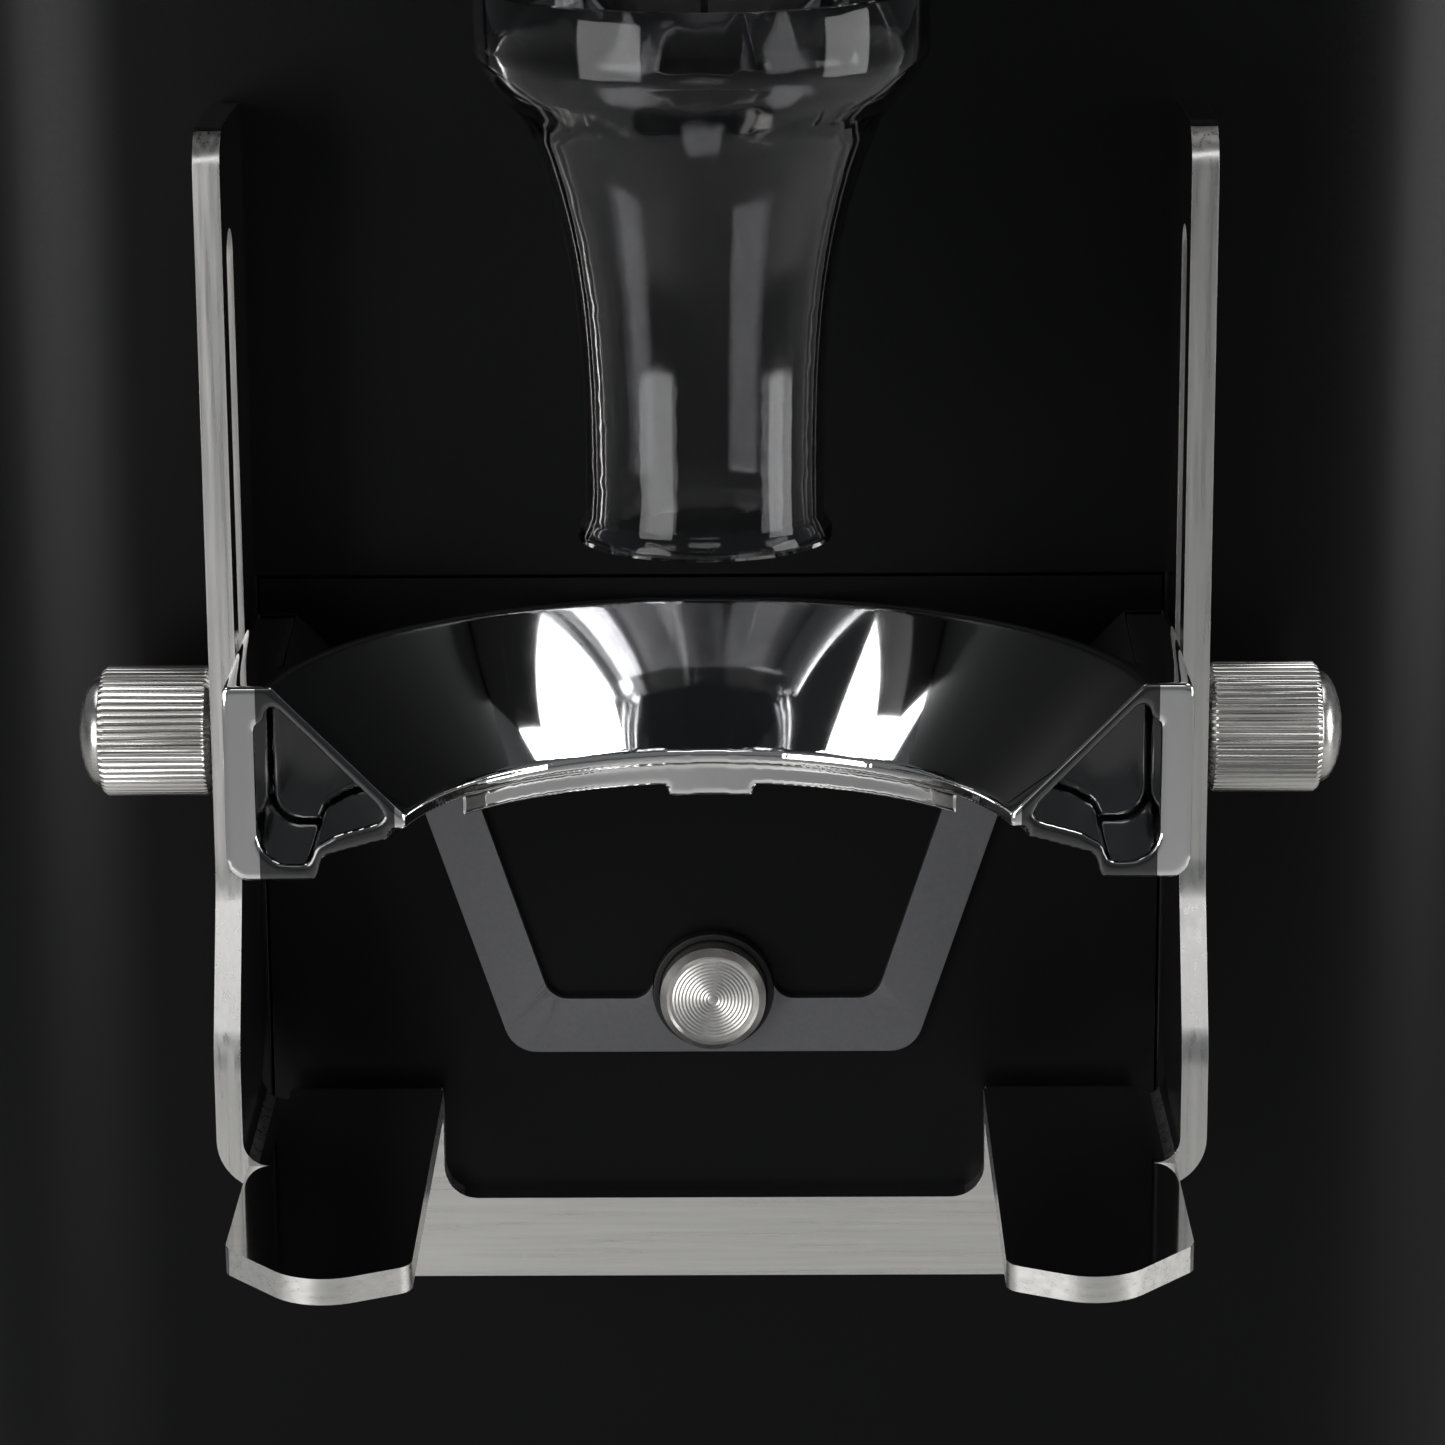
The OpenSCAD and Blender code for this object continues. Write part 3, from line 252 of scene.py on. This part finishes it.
MATERIALS = {
    "black_paint": finish("black_paint", (0.0026, 0.0027, 0.0030), roughness=0.36, spread=0.03,
                          scale=2600, bump=0.08, ior_level=0.14),
    "black_plastic": finish("black_plastic", (0.009, 0.009, 0.0095), roughness=0.5, scale=1800,
                            bump=0.2, ior_level=0.35),
    "black_glass": finish("black_glass", (0.003, 0.003, 0.004), roughness=0.06, spread=0.02,
                          scale=60, bump=0.01),
    "rubber": finish("rubber", (0.014, 0.014, 0.014), roughness=0.8, scale=1500, bump=0.3),
    "brushed_stainless": finish("brushed_stainless", (0.74, 0.73, 0.71), 1.0, 0.3, 0.05, 1500,
                                ALONG_X, 0.12, shade=0.07, side_grain=ALONG_Z,
                                side_x=PLATE_INNER_X, top_roughness=0.07),
    "turned_steel": finish("turned_steel", (0.60, 0.59, 0.57), 1.0, 0.27, 0.04, 1200,
                           ALONG_X, 0.03, shade=0.05),
    "turned_face": finish("turned_face", (0.60, 0.59, 0.57), 1.0, 0.34, 0.03, 1800, bump=0.02,
                          shade=0.05),
    "polished_steel": finish("polished_steel", (0.42, 0.42, 0.42), 1.0, 0.1, 0.03, 300, bump=0.01),
    "screw_steel": finish("screw_steel", (0.50, 0.50, 0.50), 1.0, 0.32, scale=900),
    "zinc_plate": finish("zinc_plate", (0.55, 0.57, 0.60), 1.0, 0.42, 0.1, 120, bump=0.05),
    "burr_steel": finish("burr_steel", (0.46, 0.46, 0.47), 1.0, 0.3, scale=900),
    "core_steel": finish("core_steel", (0.34, 0.34, 0.35), 1.0, 0.5, 0.1, 800, (1, 1, 12), 0.4),
    "chrome": finish("chrome", (0.88, 0.88, 0.88), 1.0, 0.035, 0.012, 140, bump=0.004,
                     shade=0.01),
    "satin_inlay": finish("satin_inlay", (0.19, 0.19, 0.20), 1.0, 0.42, 0.03, 2400,
                          bump=0.03, shade=0.05),
    "clear_plastic": finish("clear_plastic", (0.62, 0.62, 0.64), roughness=0.05, spread=0.01,
                            scale=160, bump=0.004, shade=0.01, transmission=1.0, ior=1.32),
    "smoked_plastic": finish("smoked_plastic", (0.30, 0.30, 0.32), roughness=0.08, spread=0.03,
                             scale=90, bump=0.01, shade=0.03, transmission=0.9),
    "anodised_aluminium": finish("anodised_aluminium", (0.62, 0.62, 0.63), 1.0, 0.32, 0.06, 1400,
                                 ALONG_X, 0.15, shade=0.06),
    "cast_aluminium": finish("cast_aluminium", (0.50, 0.50, 0.51), 1.0, 0.5, 0.08, 500, bump=0.4),
    "motor_paint": finish("motor_paint", (0.05, 0.07, 0.10), roughness=0.45, scale=1200, bump=0.1),
    "copper": finish("copper", (0.80, 0.38, 0.20), 1.0, 0.35, 0.08, 900, (1, 1, 14), 0.5),
    "brass": finish("brass", (0.75, 0.56, 0.26), 1.0, 0.3, scale=700),
    "felt": finish("felt", (0.20, 0.19, 0.17), roughness=0.95, scale=1600, bump=0.8, shade=0.3),
    "circuit_board": finish("circuit_board", (0.02, 0.12, 0.05), roughness=0.4, scale=350,
                            bump=0.1, shade=0.35),
}


def paint_shade_on_hidden_faces():
    """Painted shade on the pockets' insides and the plates' sides, which a plain finish leaves too
    bright.
    """
    chrome = MATERIALS["chrome"]
    # painted shade: the chrome in the fork's pockets is darkened to 0.14 and made rougher
    darken(chrome, pocket_shade_mask(chrome.node_tree), factor=0.14, roughness=0.16)
    steel = MATERIALS["brushed_stainless"]
    # painted shade: the steel on the plates' left- and right-facing sides is darkened to 0.3 and
    # made rougher
    darken(steel, plate_side_shade_mask(steel.node_tree), factor=0.3, roughness=0.22)


# ---- Carried-over pieces: merged, bevelled and smoothly shaded ----

def soften(obj, width):
    """Rounds the piece's edges and shades its curved faces smoothly."""
    normals = obj.data.attributes.get("custom_normal")
    if normals:
        obj.data.attributes.remove(normals)
    for face in obj.data.polygons:
        face.use_smooth = True
    sharp = obj.data.attributes.get("sharp_edge")
    if sharp:
        obj.data.attributes.remove(sharp)
    weld = obj.modifiers.new("weld", "WELD")
    weld.merge_threshold = WELD_GAP
    if width:
        bevel = obj.modifiers.new("bevel", "BEVEL")
        bevel.width = width
        bevel.segments = 3
        bevel.limit_method = "ANGLE"
        bevel.angle_limit = BEVEL_ANGLE
        bevel.use_clamp_overlap = True
        bevel.harden_normals = False
    weighted = obj.modifiers.new("weighted_normals", "WEIGHTED_NORMAL")
    weighted.weight = 100
    weighted.keep_sharp = False


def dress_cad_nodes():
    for subpart in frame["record"]["subparts"]:
        name = subpart["node"]
        obj = frame["nodes"][name]
        obj.data.materials.clear()
        obj.data.materials.append(MATERIALS[subpart["material_slot"]])
        width = 0 if name in SKIPPED_BEVELS else BEVEL_WIDTH.get(name, DEFAULT_BEVEL)
        soften(obj, width)


# ---- New pieces ----

def lathe(name, profile, segments, place, ribbed=(), ribs=0, rib_depth=0.0):
    """Turns (radius, distance) pairs about an axis. place(a, b, t) gives a point of the row frame.

    Rings whose index is in ribbed carry that many ribs round the edge.
    """
    verts = []
    for index, (radius, along) in enumerate(profile):
        for k in range(segments):
            angle = 2 * math.pi * k / segments
            r = radius
            if index in ribbed:
                r -= rib_depth * (0.5 - 0.5 * math.cos(ribs * angle))
            verts.append(place(r * math.cos(angle), r * math.sin(angle), along))
    faces = []
    for i in range(len(profile) - 1):
        for k in range(segments):
            after = (k + 1) % segments
            faces.append((i * segments + k, i * segments + after,
                          (i + 1) * segments + after, (i + 1) * segments + k))
    faces.append(tuple(range(segments - 1, -1, -1)))
    last = (len(profile) - 1) * segments
    faces.append(tuple(last + k for k in range(segments)))
    mesh = bpy.data.meshes.new(name)
    mesh.from_pydata(verts, [], faces)
    mesh.validate()
    for face in mesh.polygons:
        face.use_smooth = True
    mesh.set_sharp_from_angle(angle=LATHE_SHARP)
    obj = bpy.data.objects.new(name, mesh)
    bpy.context.scene.collection.objects.link(obj)
    return obj


def knurled_knob(name, side, body, old):
    """A clamp knob: stud, chamfered knurl with straight ribs, and a domed end."""
    dome_steps = 8
    dome_r = KNOB_R - 1.1 * MM
    profile = [
        (STUD_R, STUD_INNER),
        (STUD_R, KNOB_INNER),
        (KNOB_R - 0.9 * MM, KNOB_INNER),
        (KNOB_R - 0.15 * MM, KNOB_INNER + 0.7 * MM),
        (KNOB_R, KNOB_INNER + 1.0 * MM),
        (KNOB_R, KNOB_SHOULDER - 0.7 * MM),
        (KNOB_R - 0.45 * MM, KNOB_SHOULDER - 0.2 * MM),
        (dome_r, KNOB_SHOULDER),
    ]
    for k in range(1, dome_steps):
        t = k / dome_steps
        profile.append((dome_r * math.cos(t * math.pi / 2),
                        KNOB_SHOULDER + (KNOB_TIP - KNOB_SHOULDER) * math.sin(t * math.pi / 2)))
    profile.append((0.2 * MM, KNOB_TIP))

    def place(a, b, t):
        return (side * t, KNOB_Y + a, KNOB_Z + side * b)

    knob = lathe(name, profile, KNOB_RIBS * 8, place, {4, 5}, KNOB_RIBS, 0.35 * MM)
    knob.data.materials.append(MATERIALS["turned_steel"])
    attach(knob, body)
    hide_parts(old)


def cone_at(point):
    """(how far outside the funnel's inner cone a point is, the cone's normal there)."""
    slope = (FUNNEL_RIM_R - FUNNEL_THROAT_R) / (FUNNEL_RIM_Z - FUNNEL_THROAT_Z)
    length = math.hypot(1, slope)
    x, y = point.x, point.y - FUNNEL_Y
    radius = math.hypot(x, y)
    wanted = FUNNEL_THROAT_R + slope * (point.z - FUNNEL_THROAT_Z)
    normal = Vector((-x / radius, -y / radius, slope)) / length
    return (radius - wanted) / length, normal


def cast_fork():
    """The dosing fork as one casting with soft edges and a true cone inside its funnel."""
    source = frame["nodes"]["fork"]
    rough = bpy.data.objects.new("fork_rough", source.data.copy())
    bpy.context.scene.collection.objects.link(rough)
    rough.modifiers.new("weld", "WELD").merge_threshold = WELD_GAP
    remesh = rough.modifiers.new("remesh", "REMESH")
    remesh.mode = "VOXEL"
    remesh.voxel_size = CAST_VOXEL
    smooth = rough.modifiers.new("smooth", "SMOOTH")
    smooth.factor = 0.5
    smooth.iterations = 5
    graph = bpy.context.evaluated_depsgraph_get()
    mesh = bpy.data.meshes.new_from_object(rough.evaluated_get(graph))
    bpy.data.objects.remove(rough)
    mesh.name = "cast_fork"
    normals = [v.normal.copy() for v in mesh.vertices]
    for vertex in mesh.vertices:
        outside, normal = cone_at(vertex.co)
        in_height = FUNNEL_THROAT_Z + CAST_MARGIN < vertex.co.z < FUNNEL_RIM_Z - CAST_MARGIN
        faces_in = normals[vertex.index].dot(normal) > CAST_FACING
        if in_height and abs(outside) < CAST_SNAP and faces_in:
            vertex.co = vertex.co + normal * outside
            normals[vertex.index] = normal
    for face in mesh.polygons:
        face.use_smooth = True
    mesh.normals_split_custom_set_from_vertices(normals)
    mesh.materials.clear()
    mesh.materials.append(MATERIALS["chrome"])
    fork = bpy.data.objects.new("cast_fork", mesh)
    bpy.context.scene.collection.objects.link(fork)
    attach(fork, "dosing_fork")
    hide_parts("fork")


def turned_button():
    """The start button: a bright chamfer round a face with fine turned grooves."""
    face_r = BUTTON_R - 1.1 * MM
    face_y = BUTTON_FACE + 0.25 * MM
    groove_pitch = 0.42 * MM
    groove_depth = 0.07 * MM
    profile = [(0.05 * MM, face_y)]
    steps = int(face_r / groove_pitch)
    for k in range(1, steps):
        for part, depth in ((0.0, 0.0), (0.5, groove_depth)):
            profile.append(((k + part) * groove_pitch, face_y + depth))
    profile += [
        (face_r, face_y),
        (face_r + 0.3 * MM, BUTTON_FACE),
        (BUTTON_R, BUTTON_FACE + 0.8 * MM),
        (BUTTON_R, BUTTON_BACK),
        (BUTTON_STEM_R, BUTTON_BACK),
        (BUTTON_STEM_R, BUTTON_STEM_BACK),
    ]

    def place(a, b, t):
        return (a, t, BUTTON_Z - b)

    button = lathe("turned_button", profile, 96, place)
    button.data.materials.append(MATERIALS["turned_face"])
    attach(button, "button")
    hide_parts("start_button")


# ---- Light, floor and camera ----

CAMERA_AT = Vector((0.0062, -0.61229, 0.36897))
CAMERA_TO = Vector((0.0013, -0.0415, 0.216))
CAMERA_ROLL = math.radians(-0.36)
LENS_MM = 36 * 5000 / 1445

# The surroundings are dim, and almost black overhead
WORLD_LOW = 0.15
WORLD_TOP = 0.015
WORLD_FADE_FROM = 0.55
WORLD_FADE_TO = 0.88
FLOOR_HALF = 8.0


def area_light(name, at, to, width, height, radiance):
    """A rectangular softbox of that radiance, facing the point it is aimed at."""
    data = bpy.data.lights.new(name, "AREA")
    data.shape = "RECTANGLE"
    data.size = width
    data.size_y = height
    data.energy = radiance * math.pi * width * height
    light = bpy.data.objects.new(name, data)
    light.location = at
    light.rotation_euler = (Vector(to) - Vector(at)).to_track_quat("-Z", "Y").to_euler()
    bpy.context.scene.collection.objects.link(light)


def studio():
    area_light("overhead_right", (0.535, -0.10, 1.25), (0.535, -0.101, 0), 0.39, 0.7, 3.6)
    area_light("overhead_left", (-0.65, 0.0, 1.25), (-0.65, -0.001, 0), 0.30, 0.7, 3.2)
    area_light("strip_left", (-0.41, -0.48, 0.27), (-0.075, -0.06, 0.27), 0.34, 0.36, 5.4)
    area_light("strip_right", (0.60, -0.22, 0.27), (0.085, -0.04, 0.27), 0.30, 0.36, 5.8)
    area_light("back_fill", (0.3, 1.8, 1.2), (0, 0, 0.3), 1.4, 1.4, 1.6)
    area_light("floor_fill", (0, -1.0, 0.85), (0, -0.95, 0), 0.5, 0.25, 3.0)
    world = bpy.data.worlds.new("world")
    world.use_nodes = True
    tree = world.node_tree
    background = tree.nodes["Background"]
    background.inputs["Color"].default_value = (0.92, 0.96, 1.0, 1)
    split = node(tree, "ShaderNodeSeparateXYZ")
    fade = node(tree, "ShaderNodeMapRange")
    fade.inputs["From Min"].default_value = WORLD_FADE_FROM
    fade.inputs["From Max"].default_value = WORLD_FADE_TO
    fade.inputs["To Min"].default_value = WORLD_LOW
    fade.inputs["To Max"].default_value = WORLD_TOP
    place = node(tree, "ShaderNodeTexCoord").outputs["Generated"]
    tree.links.new(place, split.inputs["Vector"])
    tree.links.new(split.outputs["Z"], fade.inputs["Value"])
    tree.links.new(fade.outputs["Result"], background.inputs["Strength"])
    bpy.context.scene.world = world


def floor():
    mesh = bpy.data.meshes.new("floor")
    s = FLOOR_HALF
    mesh.from_pydata([(-s, -s, 0), (s, -s, 0), (s, s, 0), (-s, s, 0)], [], [(0, 1, 2, 3)])
    mesh.materials.append(finish("floor_paint", (0.62, 0.62, 0.61), roughness=0.7, scale=25,
                                 bump=0.02, shade=0.02))
    obj = bpy.data.objects.new("floor", mesh)
    bpy.context.scene.collection.objects.link(obj)


def camera():
    data = bpy.data.cameras.new("camera")
    data.lens = LENS_MM
    data.sensor_width = 36
    obj = bpy.data.objects.new("camera", data)
    obj.location = CAMERA_AT
    aim = (CAMERA_TO - CAMERA_AT).to_track_quat("-Z", "Y")
    obj.rotation_mode = "QUATERNION"
    obj.rotation_quaternion = aim @ Quaternion((0, 0, 1), CAMERA_ROLL)
    bpy.context.scene.collection.objects.link(obj)
    bpy.context.scene.camera = obj


paint_shade_on_hidden_faces()
dress_cad_nodes()
knurled_knob("knurled_knob_left", -1, "left_knob", "knob_left")
knurled_knob("knurled_knob_right", 1, "right_knob", "knob_right")
turned_button()
cast_fork()
studio()
floor()
camera()
bpy.context.scene.view_settings.view_transform = "Standard"
